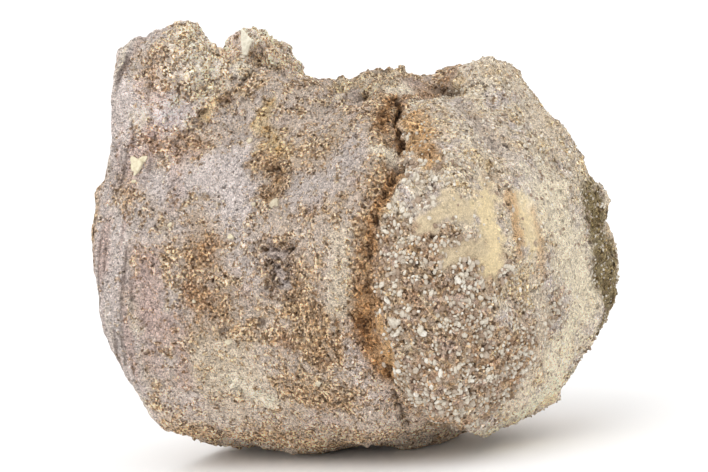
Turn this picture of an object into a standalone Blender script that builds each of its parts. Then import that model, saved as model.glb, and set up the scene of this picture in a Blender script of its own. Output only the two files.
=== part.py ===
# Fossil mosasaur vertebra: one worn centrum with its broken arch stubs and cemented crust.
# +X is the bone's long axis, from the hollow front (cotyle) to the domed rear (condyle).
# -Y is the animal's left side, +Z is up (dorsal). It rests on its underside at z = 0.

import math

import bmesh
import bpy
import numpy as np
from mathutils import Vector, noise

MM = 0.001

# ---- driving dimensions, in metres ----
BODY_LENGTH = 50.5 * MM       # front rim to the foot of the condyle
TOTAL_LENGTH = 73.5 * MM      # front rim to the tip of the condyle
RIM_HALF_WIDTH = 32.6 * MM    # half the front rim, side to side
RIM_HALF_HEIGHT = 30.0 * MM   # half the front rim, top to bottom
CUP_DEPTH = 12.5 * MM         # hollow of the front face
CUP_MOUTH = 0.84              # share of the rim's radius that the hollow takes
RIM_LIP = 2.6 * MM            # thickness of the rounded front edge
RIM_RECESS = 8.5 * MM         # the rim's underside stands this far behind its top
CONDYLE_RISE = 4.3 * MM       # the condyle's centre sits this much above the rim's
CONDYLE_POWER = 2.35          # 2 is a round dome, more is blunter
GROOVE_DEPTH = 3.0 * MM       # groove round the condyle's foot
CANAL_DEPTH = 3.6 * MM        # trough of the neural canal between the arch stubs
FILL_HEIGHT = 5.0 * MM        # sediment left in that trough
LEFT_STUB = 14.8 * MM         # height of the left arch stub over the centrum
RIGHT_STUB = 11.2 * MM        # height of the right arch stub
REAR_PEAK = 6.2 * MM          # height of the corner at the rear right of the top
REST_TILT = 6.0               # degrees that the bone settles rearwards on its underside
REST_FLAT = 1.1 * MM          # depth worn off the underside where it rests
SKIN_STEP = 0.75 * MM         # spacing of the fused skin before it is thinned
TRIANGLES = 9300
DRIFT_START = Vector((4.2, 1.6, 7.9))    # where the uneven drift of the edges starts

STONE_COLOUR = (0.36, 0.27, 0.20, 1.0)
STONE_ROUGHNESS = 0.92
STONE_METALLIC = 0.0


# ---- curves ----

def curve_through(points, x):
    """Smooth curve through (position, value) pairs, level beyond the ends."""
    px = np.array([p[0] for p in points], dtype=float)
    py = np.array([p[1] for p in points], dtype=float)
    slope = np.gradient(py, px)
    x = np.clip(x, px[0], px[-1])
    i = np.clip(np.searchsorted(px, x) - 1, 0, len(px) - 2)
    step = px[i + 1] - px[i]
    k = (x - px[i]) / step
    k2 = k * k
    k3 = k2 * k
    start = (2 * k3 - 3 * k2 + 1) * py[i] + (k3 - 2 * k2 + k) * step * slope[i]
    end = (-2 * k3 + 3 * k2) * py[i + 1] + (k3 - k2) * step * slope[i + 1]
    return start + end


def ramp(x, low, high):
    """0 below low, 1 above high, smooth between."""
    k = np.clip((x - low) / (high - low), 0.0, 1.0)
    return k * k * (3.0 - 2.0 * k)


def window(x, low, high, soft):
    """1 between low and high, easing to 0 over soft on each side."""
    return ramp(x, low - soft, low) * (1.0 - ramp(x, high, high + soft))


def station(x):
    """Place along the bone in percent of the body: 0 at the front rim, 100 at the condyle's foot."""
    return 100.0 * x / BODY_LENGTH


# ---- the radius of the bone round its long axis ----
# Angles are in degrees: 0 is the top, +90 the left side (-Y), -90 the right side.

def centre_height(x):
    return CONDYLE_RISE * np.clip(x / BODY_LENGTH, 0.0, 1.1) ** 1.4


def groove_position(angle):
    """Where the groove at the condyle's foot crosses each angle."""
    return BODY_LENGTH / 100.0 * curve_through(
        [(-180, 108.9), (-120, 105), (-60, 103.8), (-20, 103.8), (5, 96.2), (20, 93.9),
         (31, 98.2), (43, 103), (56, 102.6), (75, 103.4), (90, 103.8), (102, 103),
         (113, 104.6), (122, 106.9), (132, 109.7), (142, 112.5), (156, 113.7), (180, 108.9)],
        angle)


def section_radius(x, angle):
    """Radius of the plain centrum, a squarish oval that is narrowest at mid length."""
    a = np.radians(angle)
    half_width = RIM_HALF_WIDTH * curve_through(
        [(0, 1.0), (8, 1.018), (24, 0.963), (50, 0.905), (69, 0.914), (85, 0.963), (95, 0.963), (113, 0.899)],
        station(x))
    below = RIM_HALF_HEIGHT * curve_through(
        [(0, 1.0), (16, 0.987), (28, 0.997), (44, 1.01), (59, 1.013), (69, 0.993), (79, 0.957),
         (89, 1.007), (95, 1.007), (107, 0.927)],
        station(x))
    above = RIM_HALF_HEIGHT * curve_through(
        [(0, 1.0), (20, 1.02), (50, 1.027), (75, 1.033), (91, 1.03), (99, 1.01), (113, 0.97)],
        station(x))
    half_height = np.where(np.cos(a) > 0, above, below)
    power = curve_through([(0, 2.15), (59, 2.3), (103, 2.45)], station(x))
    across = np.abs(np.sin(a)) / half_width
    upward = np.abs(np.cos(a)) / half_height
    return (across ** power + upward ** power) ** (-1.0 / power)


def left_arch(x, angle):
    """Left pedicle stub with the rib-facet shoulder below it."""
    crest = LEFT_STUB * curve_through(
        [(-6, 0.96), (2, 0.96), (10, 0.92), (16, 1.0), (23, 1.0), (27, 0.84), (34, 0.59),
         (43, 0.45), (52, 0.34), (59, 0.28), (65, 0.18), (73, 0.0)],
        station(x))
    outer = curve_through([(-6, 37), (3, 35), (10, 28), (22, 24), (32, 20), (50, 18), (73, 17)], station(x))
    foot = curve_through([(-6, 56), (3, 56), (12, 52), (22, 44), (32, 38), (50, 40), (73, 40)], station(x))
    wall = ramp(angle, 11.5, 16.0)
    return crest * wall * (1.0 - ramp(angle, outer, foot))


def right_arch(x, angle):
    """Right pedicle stub, snapped off lower and further forward."""
    crest = RIGHT_STUB * curve_through(
        [(-6, 0.6), (6, 0.9), (15, 1.0), (22, 0.82), (27, 0.52), (33, 0.24), (44, 0.14),
         (75, 0.09), (85, 0.0)],
        station(x))
    return crest * ramp(-angle, 11.0, 17.0) * (1.0 - ramp(-angle, 34.0, 64.0))


def rear_peak(x, angle):
    """Broken corner that stands up at the rear right of the top."""
    height = REAR_PEAK * curve_through(
        [(83, 0.0), (93, 0.32), (100, 0.68), (105, 1.0), (111, 0.86), (116, 0.4), (122, 0.0)],
        station(x))
    return height * window(angle, -33, -16, 12)


def canal(x, angle):
    """Trough of the neural canal between the arch stubs."""
    return -CANAL_DEPTH * window(station(x), -10, 73, 10) * window(angle, -9, 9, 4)


def canal_fill(x, angle):
    """Sediment left in the rear half of the neural canal."""
    away = ((station(x) - 70) / 15.0) ** 2 + ((angle + 2.5) / 12.0) ** 2
    return FILL_HEIGHT * np.exp(-away ** 2)


def groove(x, angle):
    """Groove round the foot of the condyle, deepest on the upper left."""
    depth = GROOVE_DEPTH * curve_through(
        [(-180, 0.7), (-60, 0.7), (0, 0.5), (20, 0.9), (35, 1.3), (52, 1.2), (66, 0.8), (80, 0.6),
         (100, 0.6), (115, 0.85), (130, 0.95), (150, 0.95), (180, 0.7)],
        angle)
    away = x - groove_position(angle)
    soft = window(angle, 68, 106, 12)
    wide = np.where(away < 0, 1.9 + 1.2 * soft, 2.9) * MM
    return -depth * np.exp(-(away / wide) ** 2)


def condyle_crust(x, angle):
    """Swelling of hard sediment on the left of the condyle."""
    return 1.2 * MM * window(station(x), 107, 131, 10) * window(angle, 60, 130, 25)


# Dents and knobs: station along the bone, angle, reach (mm), height (mm).
MARKS = [
    (76.2, 92.0, 7.5, -1.3),      # long hollow in front of the rear rim
    (63.0, 51.0, 3.4, -1.1),      # pit under the arch
    (64.2, 61.0, 1.8, 1.3),       # chip below the pit
    (92.3, 66.0, 5.0, 1.0),       # rear rim, upper part
    (93.1, 84.0, 5.5, 1.1),       # rear rim, middle
    (91.9, 104.0, 5.0, 0.8),      # rear rim, lower part
    (38.6, 21.5, 2.6, 1.3),       # loose block on the arch
    (41.6, 30.0, 3.0, -1.4),      # crack under the block
    (17.8, 39.0, 3.2, -0.9),      # dark nick below the shoulder
    (26.7, 36.0, 3.2, -0.9),      # second nick
    (99.0, -3.0, 2.8, -2.0),      # hollow on the rear edge of the top
    (118.8, 16.0, 4.5, -1.1),     # furrow over the condyle, upper end
    (126.7, 25.0, 4.0, -1.1),     # furrow, lower end
    (112.9, 92.0, 6.0, 0.8),      # crusted swelling of the condyle
    (127.0, 124.0, 8.0, 1.7),     # crusted swelling, lower
    (124.8, 60.0, 6.0, 0.6),      # bare boss of the condyle
    (4.0, -128.0, 6.0, -2.2),     # chip out of the rim, lower right
    (5.0, -72.0, 4.0, -1.3),      # small chip, right
    (45.0, -88.0, 7.0, -1.2),     # dent in the right side
    (66.0, -112.0, 5.0, -1.0),    # second dent in the right side
    (90.0, -70.0, 5.0, 0.9),      # rear rim, right
    (30.0, 156.0, 12.0, -1.5),    # worn flat low on the left side
    (100.0, 158.0, 9.0, -2.2),    # its rear end
    (26.0, 137.0, 6.5, 0.8),      # lower front corner
    (136.5, -167.0, 4.0, 2.0),    # broken edge low on the condyle
    (128.0, -18.0, 7.0, -0.9),    # slope over the condyle, worn
]

# Notches worn back into the front rim: angle, spread (degrees), depth (mm).
NOTCHES = [(-128.0, 15.0, 2.4), (-70.0, 9.0, 1.3), (146.0, 8.0, 0.9), (-20.0, 10.0, 1.4)]


def marks(x, angle):
    """The larger dents and knobs."""
    total = np.zeros_like(angle + x)
    for place, turn, reach, height in MARKS:
        along = (station(x) - place) * BODY_LENGTH / 100.0 / (reach * MM)
        round_it = np.radians(angle - turn) * 30.0 / reach
        total = total + height * MM * np.exp(-1.4 * (along ** 2 + round_it ** 2))
    return total


def wander(x, angle):
    """Uneven drift, -1 to 1, that keeps edges from running straight."""
    x = x + np.zeros_like(angle)
    a = np.radians(angle)
    drift = []
    for spot in zip(x / (9 * MM), 3.2 * np.cos(a), 3.2 * np.sin(a)):
        place = Vector(spot)
        drift.append((noise.noise(place + DRIFT_START), noise.noise(place - DRIFT_START)))
    return np.array(drift)


def surface_radius(x, angle):
    """Radius of the whole outside of the bone."""
    drift = wander(x, angle)
    x_drift = x + 1.8 * MM * drift[:, 0]
    angle_drift = angle + 4.0 * drift[:, 1]
    return (section_radius(x, angle)
            + left_arch(x_drift, angle_drift)
            + right_arch(x_drift, angle_drift)
            + rear_peak(x_drift, angle_drift)
            + canal(x_drift, angle_drift)
            + canal_fill(x_drift, angle_drift)
            + condyle_crust(x_drift, angle_drift)
            + groove(x + 0.7 * MM * drift[:, 1], angle)
            + marks(x, angle))


def rim_recess(angle):
    """How far the rim stands back: its underside is well behind its top, and it is notched."""
    slope = RIM_RECESS * curve_through(
        [(0, 0.0), (30, 0.02), (48, 0.06), (52, 0.04), (56, -0.07), (66, -0.09), (80, 0.1), (90, 0.25), (100, 0.42),
         (118, 0.68), (150, 0.95), (180, 1.0)],
        np.abs(angle))
    for turn, spread, depth in NOTCHES:
        slope = slope + depth * MM * np.exp(-((angle - turn) / spread) ** 2)
    return slope + 0.5 * MM * wander(np.zeros_like(angle), angle)[:, 0]


def skin_point(share, angle):
    """Point of the skin: share runs from the hollow's middle (0) to the condyle's tip (1)."""
    foot = groove_position(angle)
    recess = rim_recess(angle)
    rim = section_radius(np.zeros_like(angle), angle)
    half_lip = 0.7 * RIM_LIP
    if share < 0.24:
        # the hollow
        turn = share / 0.24 * math.pi / 2
        out = CUP_MOUTH * math.sin(turn)
        x = half_lip + (CUP_DEPTH - half_lip) * math.cos(turn) ** 1.25 + recess * out
        radius = out * rim
    elif share < 0.30:
        # over the rounded lip
        k = (share - 0.24) / 0.06
        out = CUP_MOUTH + (1.0 - CUP_MOUTH) * (1.0 - math.cos(k * math.pi)) / 2
        x = half_lip - half_lip * math.sin(k * math.pi) + (RIM_LIP - half_lip) * k + recess * out
        radius = out * rim + (surface_radius(recess + RIM_LIP, angle) - rim) * ramp(k, 0.35, 1.0)
    elif share < 0.70:
        # along the body
        k = (share - 0.30) / 0.40
        x = recess + RIM_LIP + (foot - recess - RIM_LIP) * k
        radius = surface_radius(x, angle)
    else:
        # over the condyle
        turn = (share - 0.70) / 0.30 * math.pi / 2
        x = foot + (TOTAL_LENGTH - foot) * math.sin(turn) ** (2.0 / CONDYLE_POWER)
        radius = surface_radius(x, angle) * max(0.0, math.cos(turn)) ** (2.0 / CONDYLE_POWER)
    a = np.radians(angle)
    return np.stack([x, -radius * np.sin(a), radius * np.cos(a) + centre_height(x)], axis=-1)


# ---- the mesh ----

def make_centrum():
    """A ball whose rings are carried on to the skin of the bone."""
    bm = bmesh.new()
    bmesh.ops.create_uvsphere(bm, u_segments=240, v_segments=150, radius=1.0)
    places = np.array([vert.co[:] for vert in bm.verts])
    shares = np.round(np.arccos(np.clip(-places[:, 2], -1, 1)) / math.pi, 5)
    angles = np.degrees(np.arctan2(places[:, 1], places[:, 0]))
    moved = np.zeros_like(places)
    for share in np.unique(shares):
        ring = shares == share
        moved[ring] = skin_point(float(share), angles[ring])
    for vert, place in zip(bm.verts, moved):
        vert.co = place
    if bm.calc_volume(signed=True) < 0:
        bmesh.ops.reverse_faces(bm, faces=bm.faces)
    return bm


def add_lump(bm, centre, size, seed):
    """A rough lump of sediment or bone, sizes in millimetres, that is fused on with the skin."""
    made = bmesh.ops.create_icosphere(bm, subdivisions=4, radius=1.0)["verts"]
    for vert in made:
        rough = 1.0 + 0.16 * noise.noise(vert.co * 1.7 + Vector((seed, 0, 0)))
        vert.co = [(centre[i] + vert.co[i] * size[i] * rough) * MM for i in range(3)]


def add_lumps(bm):
    add_lump(bm, (69.6, 12.0, 2.2), (4.6, 12.0, 12.2), 3.1)     # crust on the tip, right of middle
    add_lump(bm, (69.8, 15.0, 13.4), (3.4, 6.0, 4.4), 6.3)      # its upper knob
    add_lump(bm, (49.8, -20.5, 21.5), (2.6, 3.2, 3.2), 9.4)     # lip over the groove
    add_lump(bm, (2.9, -18.4, 37.6), (2.1, 5.4, 4.8), 5.2)      # front corner of the left stub


def baked(body):
    """The object's mesh with its modifiers worked in."""
    graph = bpy.context.evaluated_depsgraph_get()
    graph.update()
    return bpy.data.meshes.new_from_object(body.evaluated_get(graph), depsgraph=graph)


def stand_in_scene(name, mesh):
    body = bpy.data.objects.new(name, mesh)
    bpy.context.scene.collection.objects.link(body)
    return body


def fuse(bm):
    """One closed, evenly spaced skin round the centrum and its lumps."""
    mesh = bpy.data.meshes.new("rough_skin")
    bm.to_mesh(mesh)
    bm.free()
    body = stand_in_scene("rough_skin", mesh)
    remesh = body.modifiers.new("fuse", "REMESH")
    remesh.mode = "VOXEL"
    remesh.voxel_size = SKIN_STEP
    remesh.adaptivity = 0.0
    fused = baked(body)
    bpy.data.objects.remove(body)
    return fused


def read_places(mesh):
    places = np.zeros(len(mesh.vertices) * 3)
    mesh.vertices.foreach_get("co", places)
    return places.reshape(-1, 3)


def write_places(mesh, places):
    mesh.vertices.foreach_set("co", places.reshape(-1))
    mesh.update()


def how_rough(x, angle, up):
    """How broken the skin is: most on snapped bone and crust, least on the smooth rim band."""
    top = ramp(up, 24 * MM, 34 * MM)
    crust = window(x, 53 * MM, 80 * MM, 3 * MM)
    band = window(x, -2 * MM, 6 * MM, 4 * MM) * ramp(angle, 62, 75)
    return np.clip(0.35 + 0.65 * top + 0.35 * crust - 0.2 * band, 0.1, 1.0)


def roughen(mesh):
    """Lumps, pits and ledges pushed in and out along the skin's normals."""
    places = read_places(mesh)
    normals = np.zeros(len(places) * 3)
    mesh.vertex_normals.foreach_get("vector", normals)
    up = places[:, 2] - centre_height(places[:, 0])
    angle = np.degrees(np.arctan2(-places[:, 1], up))
    rough = how_rough(places[:, 0], angle, up)
    push = np.zeros(len(places))
    for i, place in enumerate(places):
        p = Vector(place)
        broad = noise.noise(p * 75.0 + Vector((3.7, 1.2, 8.8)))
        medium = noise.noise(p * 190.0 + Vector((0.4, 6.1, 2.9)))
        fine = noise.noise(p * 420.0 + Vector((5.5, 2.5, 7.5)))
        crag = noise.voronoi(p * 230.0 + Vector((2.0, 4.0, 1.0)))[0][0]
        push[i] = 0.7 * broad + rough[i] * (1.0 * medium + 0.55 * fine + 1.3 * (0.35 - crag))
    write_places(mesh, places + normals.reshape(-1, 3) * push[:, None] * MM)


def settle(mesh):
    """Tip the bone back on to its underside and set z = 0 a little way into it."""
    places = read_places(mesh)
    turn = math.radians(REST_TILT)
    x = places[:, 0] * math.cos(turn) + places[:, 2] * math.sin(turn)
    z = -places[:, 0] * math.sin(turn) + places[:, 2] * math.cos(turn)
    y = places[:, 1]
    x = x - (x.min() + x.max()) / 2
    y = y - (y.min() + y.max()) / 2
    write_places(mesh, np.stack([x, y, z - z.min() - REST_FLAT], axis=-1))


def thin(mesh):
    """The skin with as few triangles as keep its look."""
    body = stand_in_scene("thick_skin", mesh)
    few = body.modifiers.new("thin", "DECIMATE")
    few.decimate_type = "COLLAPSE"
    few.ratio = TRIANGLES / (2.0 * len(mesh.polygons))
    few.use_collapse_triangulate = True
    thinned = baked(body)
    bpy.data.objects.remove(body)
    return thinned


def make_ground_cutter(cutters):
    """Block under z = 0 that wears the resting flats on to the underside."""
    bm = bmesh.new()
    bmesh.ops.create_cube(bm, size=1.0)
    for vert in bm.verts:
        vert.co = (vert.co.x * 0.12, vert.co.y * 0.12, (vert.co.z - 0.5) * 0.02)
    mesh = bpy.data.meshes.new("ground_cutter")
    bm.to_mesh(mesh)
    bm.free()
    block = bpy.data.objects.new("ground_cutter", mesh)
    block.hide_render = True
    block.display_type = "WIRE"
    cutters.objects.link(block)
    return block


def make_stone():
    stone = bpy.data.materials.new("fossil_bone")
    stone.use_nodes = True
    shader = stone.node_tree.nodes["Principled BSDF"]
    shader.inputs["Base Color"].default_value = STONE_COLOUR
    shader.inputs["Roughness"].default_value = STONE_ROUGHNESS
    shader.inputs["Metallic"].default_value = STONE_METALLIC
    return stone


def make_bone(group, cutters):
    bm = make_centrum()
    add_lumps(bm)
    skin = fuse(bm)
    roughen(skin)
    settle(skin)
    mesh = thin(skin)
    mesh.name = "vertebra"
    mesh.materials.clear()
    mesh.materials.append(make_stone())
    bone = bpy.data.objects.new("vertebra", mesh)
    group.objects.link(bone)
    cut = bone.modifiers.new("rest", "BOOLEAN")
    cut.operation = "DIFFERENCE"
    cut.solver = "EXACT"
    cut.object = make_ground_cutter(cutters)


def clear_scene():
    for thing in list(bpy.data.objects):
        bpy.data.objects.remove(thing, do_unlink=True)


def main():
    clear_scene()
    group = bpy.data.collections.new("mosasaur_vertebra")
    cutters = bpy.data.collections.new("cutters")
    bpy.context.scene.collection.children.link(group)
    bpy.context.scene.collection.children.link(cutters)
    make_bone(group, cutters)


main()
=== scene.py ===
import math
import random
from types import SimpleNamespace

import bmesh
import bpy
import numpy as np
from mathutils import Matrix, Vector, noise
from mathutils.bvhtree import BVHTree
from mathutils.kdtree import KDTree


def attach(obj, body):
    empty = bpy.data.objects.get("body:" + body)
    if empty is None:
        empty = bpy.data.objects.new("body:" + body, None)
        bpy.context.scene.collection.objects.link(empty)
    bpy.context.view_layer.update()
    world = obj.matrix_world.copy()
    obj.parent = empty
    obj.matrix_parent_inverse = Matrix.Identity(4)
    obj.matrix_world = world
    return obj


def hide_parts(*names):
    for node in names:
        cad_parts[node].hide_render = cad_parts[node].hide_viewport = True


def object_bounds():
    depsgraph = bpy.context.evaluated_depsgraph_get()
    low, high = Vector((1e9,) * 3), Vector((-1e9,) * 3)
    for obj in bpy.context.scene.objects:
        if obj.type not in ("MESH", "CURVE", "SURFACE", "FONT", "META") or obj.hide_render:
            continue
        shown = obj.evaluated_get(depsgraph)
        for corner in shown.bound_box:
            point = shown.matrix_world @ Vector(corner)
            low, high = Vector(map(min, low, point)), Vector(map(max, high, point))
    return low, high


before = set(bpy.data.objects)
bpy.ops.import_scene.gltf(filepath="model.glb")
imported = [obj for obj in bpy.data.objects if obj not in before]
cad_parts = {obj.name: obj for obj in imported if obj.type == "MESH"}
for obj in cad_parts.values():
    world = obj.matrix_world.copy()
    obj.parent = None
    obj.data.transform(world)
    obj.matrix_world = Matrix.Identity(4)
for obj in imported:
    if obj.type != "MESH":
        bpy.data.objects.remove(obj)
cadBox = [list(corner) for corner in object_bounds()]
print("frame loaded")

mm = 0.001

# how the bone lies: its long axis leaves the middle of the front rim and dips to the rear
boneAxis = {
    "rimCentre": (-0.03782, 0.00013, 0.03065),
    "tilt": 6,              # degrees
    "condyleFoot": 50.5,      # mm behind the rim
    "condyleRise": 4.3,       # mm that the condyle's centre sits above the rim's
    "risePower": 1.4,
}


# ---- places on the bone: along = mm behind the front rim, around = degrees, 0 top, 90 left side ----

def boneCoords(points):
    tilt = math.radians(boneAxis["tilt"])
    d = points - np.array(boneAxis["rimCentre"])
    along = (d[:, 0] * math.cos(tilt) - d[:, 2] * math.sin(tilt)) / mm
    up = (d[:, 0] * math.sin(tilt) + d[:, 2] * math.cos(tilt)) / mm
    side = -d[:, 1] / mm
    share = np.clip(along / boneAxis["condyleFoot"], 0, 1.1)
    rise = share ** boneAxis["risePower"] * boneAxis["condyleRise"]
    around = np.degrees(np.arctan2(side, up - rise))
    return along, around, np.hypot(side, up - rise)


def snap(place):
    # the point of the skin nearest to a place given in mm
    return np.array(skin.find_nearest(Vector(place) * mm)[0])


def ramp(x, low, high):
    k = np.clip((x - low) / (high - low), 0, 1)
    return k * k * (3 - 2 * k)


def window(x, low, high, soft):
    return ramp(x, low - soft, low) * (1 - ramp(x, high, high + soft))


def softNoise(points, size, seed, octaves=1, stretch=(1, 1, 1)):
    # smooth noise about -1 to 1, with lumps about size mm across
    p = (points / mm / size / np.array(stretch) + seed * 7.31).tolist()
    if octaves == 1:
        return np.array([noise.noise(q) for q in p]) * 1.6
    return np.array([noise.fractal(q, 0.9, 2.1, octaves) for q in p])


def drift(points, size, seeds, octaves=1):
    # a soft shift in three directions
    return np.column_stack([softNoise(points, size, s, octaves) for s in seeds])


def crags(points, size, seed, octaves=3):
    # rough noise with sharp creases, about -0.5 to 1
    p = (points / mm / size + seed * 5.13).tolist()
    rough = [noise.turbulence(q, octaves, True, amplitude_scale=0.55, frequency_scale=2.2) for q in p]
    return np.array(rough) - 0.6


def cobbles(points, size, seed):
    # distance to the nearest cell centre, in cell sizes, and a chance value for the cell
    near = []
    for q in (points / mm / size + seed * 3.17).tolist():
        dist, spots = noise.voronoi(q)
        near.append((dist[0], math.sin(spots[0].x * 91.7 + spots[0].y * 47.3 + spots[0].z * 13.9)))
    near = np.array(near)
    return near[:, 0], near[:, 1]


def nearLine(points, line, reach):
    # distance in mm from each point to a line through places on the skin
    places = [snap(q) for q in line]
    dist = np.full(len(points), 1e3)
    low = np.min(places, axis=0) - reach * mm
    high = np.max(places, axis=0) + reach * mm
    near = np.all((points > low) & (points < high), axis=1)
    sub = points[near]
    best = np.full(len(sub), 1e3)
    for a, b in zip(places[:-1] or places, places[1:] or places):
        ab = b - a
        k = np.clip(((sub - a) @ ab) / max(ab @ ab, 1e-12), 0, 1)
        best = np.minimum(best, np.linalg.norm(sub - a - k[:, None] * ab, axis=1) / mm)
    dist[near] = best
    return dist


# ---- the skin: the CAD solid, smoothed and cut fine ----

skinSize = {
    "cell": 0.3,                   # mm
    "rounds": 14,                  # of smoothing that keeps the volume
    "shrink": 0.6,
    "swell": -0.62,
    "centrumTriangles": 196000,
}


def evaluatedMesh(piece):
    return bpy.data.meshes.new_from_object(piece.evaluated_get(bpy.context.evaluated_depsgraph_get()))


def stand(name, mesh):
    piece = bpy.data.objects.new(name, mesh)
    bpy.context.scene.collection.objects.link(piece)
    return piece


def smoothSkin():
    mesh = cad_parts["vertebra"].data.copy()
    bm = bmesh.new()
    bm.from_mesh(mesh)
    bmesh.ops.remove_doubles(bm, verts=bm.verts, dist=1e-6)
    bm.to_mesh(mesh)
    bm.free()
    work = stand("skinWork", mesh)
    soft = work.modifiers.new("soften", "SUBSURF")
    soft.levels = soft.render_levels = 1
    cells = work.modifiers.new("cells", "REMESH")
    cells.mode = "VOXEL"
    cells.voxel_size = skinSize["cell"] * mm
    cells.adaptivity = 0
    result = evaluatedMesh(work)
    bpy.data.objects.remove(work)
    return result


def meshArrays(mesh):
    points = np.empty(len(mesh.vertices) * 3)
    mesh.vertices.foreach_get("co", points)
    edges = np.empty(len(mesh.edges) * 2, dtype=np.int32)
    mesh.edges.foreach_get("vertices", edges)
    return points.reshape(-1, 3), edges.reshape(-1, 2)


def relax(values, edges, times, share=0.5):
    # evens values out over the mesh; works on points and on single numbers
    n = len(values)
    count = np.bincount(edges.ravel(), minlength=n)
    flat = values.reshape(n, -1)
    for _ in range(times):
        mean = np.empty_like(flat)
        for c in range(flat.shape[1]):
            total = np.bincount(edges[:, 0], flat[edges[:, 1], c], n)
            total += np.bincount(edges[:, 1], flat[edges[:, 0], c], n)
            mean[:, c] = total / count
        flat = flat + (mean - flat) * share
    return flat.reshape(values.shape)


def normalsOf(mesh):
    mesh.update()
    n = np.empty(len(mesh.vertices) * 3)
    mesh.vertex_normals.foreach_get("vector", n)
    return n.reshape(-1, 3)


def setPoints(mesh, points):
    mesh.vertices.foreach_set("co", points.ravel())
    mesh.update()


base = smoothSkin()
points, edges = meshArrays(base)
for _ in range(skinSize["rounds"]):
    points = relax(points, edges, 1, skinSize["shrink"])
    points = relax(points, edges, 1, skinSize["swell"])
points = relax(points, edges, 3)
setPoints(base, points)
quads = np.array([tuple(p.vertices) for p in base.polygons])
skin = BVHTree.FromPolygons(points.tolist(), quads.tolist())
print("skin:", len(points), "points")


# ---- zones of the bone, each a mask from 0 to 1 ----

# where the groove at the condyle's foot runs, as (around, along)
grooveLine = [(-180, 55), (-120, 53), (-60, 52.4), (-20, 51), (5, 47), (16, 45.9), (26, 48.8), (36, 51.2),
              (43, 52.4), (61, 52.1), (80, 52.9), (93, 51.9), (101, 51.7), (112, 53), (119, 54.4), (129, 55.6),
              (137, 57.5), (150, 57.6), (180, 55)]
# the olive, lumpy edge of the condyle, in mm
edgeLine = [(34.4, 13.4, 36.6), (34.8, 14.2, 31.5), (34, 15, 26.5), (32.4, 15.8, 21), (30.8, 17.4, 16.5)]
edgeReach = 5.4

# where each zone starts, ends and how softly: Along and Past in mm, Around in degrees, Radius in mm
limits = {
    "cupAlong": (4, 7), "cupRadius": (23.5, 27), "lipAlong": (1.2, 2.6), "rimAround": (22, 150, 8),
    "domePast": (0.2, 1.4), "ridgePast": (-9.5, -3.4, 1.6), "ridgeAround": (52, 126, 8),
    "scarAlong": (4.6, 17, 2.2), "scarAround": (14, 40, 7), "scarRadius": (31, 36),
    "farScarAlong": (-4, 20, 2), "farScarAround": (12, 50, 9), "farScarRadius": (30, 35),
    "matrixAlong": (28, 42, 3), "matrixAround": (-26, 9, 5), "underAround": (128, 150),
    "brownAround": (70, 144, 9), "brownPast": (1.6, 16, 4), "footAlong": (4.5, 18, 3),
    "footAround": (36, 47, 5), "chokedAround": (24, 66, 8), "brokenAround": (20, 66, 8),
    "grainAround": (46, 80, 8), "grainPast": (2, 9, 3), "farSide": (12, 24),
}
rimBand = {"width": 6, "swing": 2.4, "turn": 20, "soft": 2.4}

# fields of soft noise: size in mm, seed, octaves
fields = {
    "wander": (7, 3, 2), "edgeWide": (4, 33, 3), "edgeFine": (1.2, 34, 2), "blotch": (7, 20, 3),
    "patch": (3, 21, 3), "fleck": (1.1, 22, 3), "mauve": (5, 23, 2), "veil": (5, 28, 3),
    "mottle": (1.6, 29, 2), "brown": (2.4, 24, 2), "russet": (3.2, 30, 3), "lumps": (3.6, 7, 3),
    "terrace": (5, 8, 2), "crumbs": (1.25, 14, 3), "pits": (1, 18, 2), "fine": (0.7, 6), "crust": (2.4, 10, 3),
    "wobble": (1.2, 12, 2), "clump": (2.4, 30, 3), "coarse": (3, 31, 2),
}
strandStretch = (0.6, 9, 3)
streakStretch = (1.1, 14, 4)


def field(p, name):
    return softNoise(p, *fields[name])


def within(x, name):
    return window(x, *limits[name])


def beyond(x, name):
    return ramp(x, *limits[name])


def grooveAlong(around):
    return np.interp(around, [p[0] for p in grooveLine], [p[1] for p in grooveLine])


def makeZones(p):
    along, around, radius = boneCoords(p)
    wander = field(p, "wander") * 1.4
    past = along - grooveAlong(around) + wander * 0.2
    outside = 1 - (1 - beyond(along, "cupAlong")) * (1 - beyond(radius, "cupRadius"))
    band = rimBand["width"] + rimBand["swing"] * np.sin(np.radians(around - rimBand["turn"])) + wander * 1.1
    z = SimpleNamespace(along=along, around=around, past=past, dome=beyond(past, "domePast"))
    z.lip = (1 - beyond(along + wander * 0.3, "lipAlong")) * outside
    z.rim = (1 - ramp(along, band, band + rimBand["soft"])) * within(np.abs(around), "rimAround") * outside
    z.groove = np.exp(-((past + 0.7) / 2) ** 2)
    z.ridge = within(past, "ridgePast") * within(np.abs(around), "ridgeAround")
    z.scar = within(along + wander * 0.5, "scarAlong") * within(around, "scarAround")
    z.scar *= beyond(radius, "scarRadius")
    z.scar *= 1 - 0.85 * z.rim
    z.farScar = within(along, "farScarAlong") * within(-around, "farScarAround")
    z.farScar *= beyond(radius, "farScarRadius")
    z.matrix = within(along + wander * 0.5, "matrixAlong") * within(around, "matrixAround")
    z.under = beyond(np.abs(around), "underAround") * (1 - z.dome)
    drawn = np.column_stack([along * mm, around * 0.5 * mm, radius * mm])
    z.strands = softNoise(drawn, 1, 9, 2, strandStretch)
    z.streaks = softNoise(drawn, 1, 19, 2, streakStretch)
    toEdge = nearLine(p, edgeLine, 14) / edgeReach + 0.45 * field(p, "edgeWide") + 0.3 * field(p, "edgeFine")
    z.edge = z.dome * (1 - ramp(toEdge, 0.55, 1.2))
    return z


# ---- tones, as they look in plain light on a 0 to 255 scale ----

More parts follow.
